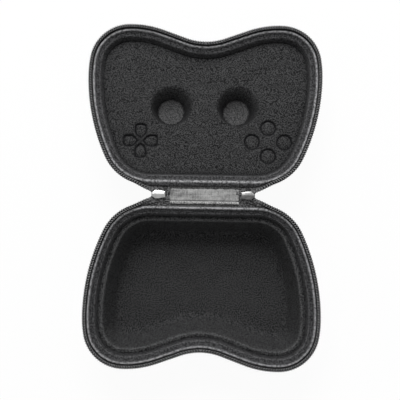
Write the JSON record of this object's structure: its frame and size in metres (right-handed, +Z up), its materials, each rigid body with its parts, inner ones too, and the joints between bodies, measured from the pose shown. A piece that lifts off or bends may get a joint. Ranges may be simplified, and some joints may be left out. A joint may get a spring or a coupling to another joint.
{
  "type": "controller carrying case",
  "caption": "Hard-shell zip case for a game controller, open flat: deep moulded base and shallower lid with pressed recesses, joined by a cloth hinge.",
  "frame": {"origin": "middle of the base's flat underside, on the table", "axes": "+X to the case's right, +Y from the base to the opened lid, +Z up"},
  "size_m": [0.1848, 0.2715, 0.0446],
  "materials": {
    "shell_cloth": "close woven nylon over moulded foam",
    "lining_cloth": "brushed knit lining",
    "binding_cloth": "rolled binding with a slight sheen",
    "zip_tape": "woven tape",
    "zip_coil": "satin",
    "hinge_cloth": "smooth coated cloth",
    "slider_metal": "plated, bright"
  },
  "bodies": {
    "base": {"base_hinge_flap": "hinge_cloth", "base_insert": "lining_cloth", "base_rim_binding": "binding_cloth", "base_shell": "shell_cloth", "base_zipper_coil": "zip_coil", "base_zipper_tape": "zip_tape"},
    "spine": {"hinge_strip": "hinge_cloth", "left_chain_coil": "zip_coil", "left_chain_tape": "zip_tape", "left_slider_body": "slider_metal", "right_chain_coil": "zip_coil", "right_chain_tape": "zip_tape", "right_slider_body": "slider_metal"},
    "lid": {"lid_hinge_flap": "hinge_cloth", "lid_insert": "lining_cloth", "lid_rim_binding": "binding_cloth", "lid_shell": "shell_cloth", "lid_zipper_coil": "zip_coil", "lid_zipper_tape": "zip_tape"},
    "left_pull": {"left_pull_tab": "slider_metal"},
    "right_pull": {"right_pull_tab": "slider_metal"}
  },
  "joints": [
    {"name": "base_fold", "type": "hinge", "parent": "base", "child": "spine", "pos_m": [0, 0.06632, 0.04], "axis": [1, 0, 0], "range_deg": [0, 90]},
    {"name": "lid_fold", "type": "hinge", "parent": "spine", "child": "lid", "pos_m": [0, 0.07582, 0.04], "axis": [1, 0, 0], "range_deg": [0, 95.14]},
    {"name": "left_pull_swing", "type": "hinge", "parent": "spine", "child": "left_pull", "pos_m": [-0.03497, 0.07107, 0.037], "axis": [0, 1, 0], "range_deg": [-80, 80]},
    {"name": "right_pull_swing", "type": "hinge", "parent": "spine", "child": "right_pull", "pos_m": [0.03497, 0.07107, 0.037], "axis": [0, 1, 0], "range_deg": [-80, 80]}
  ],
  "couplings": [
    {"joint": "lid_fold", "follows": "base_fold", "ratio": 1.0571}
  ]
}
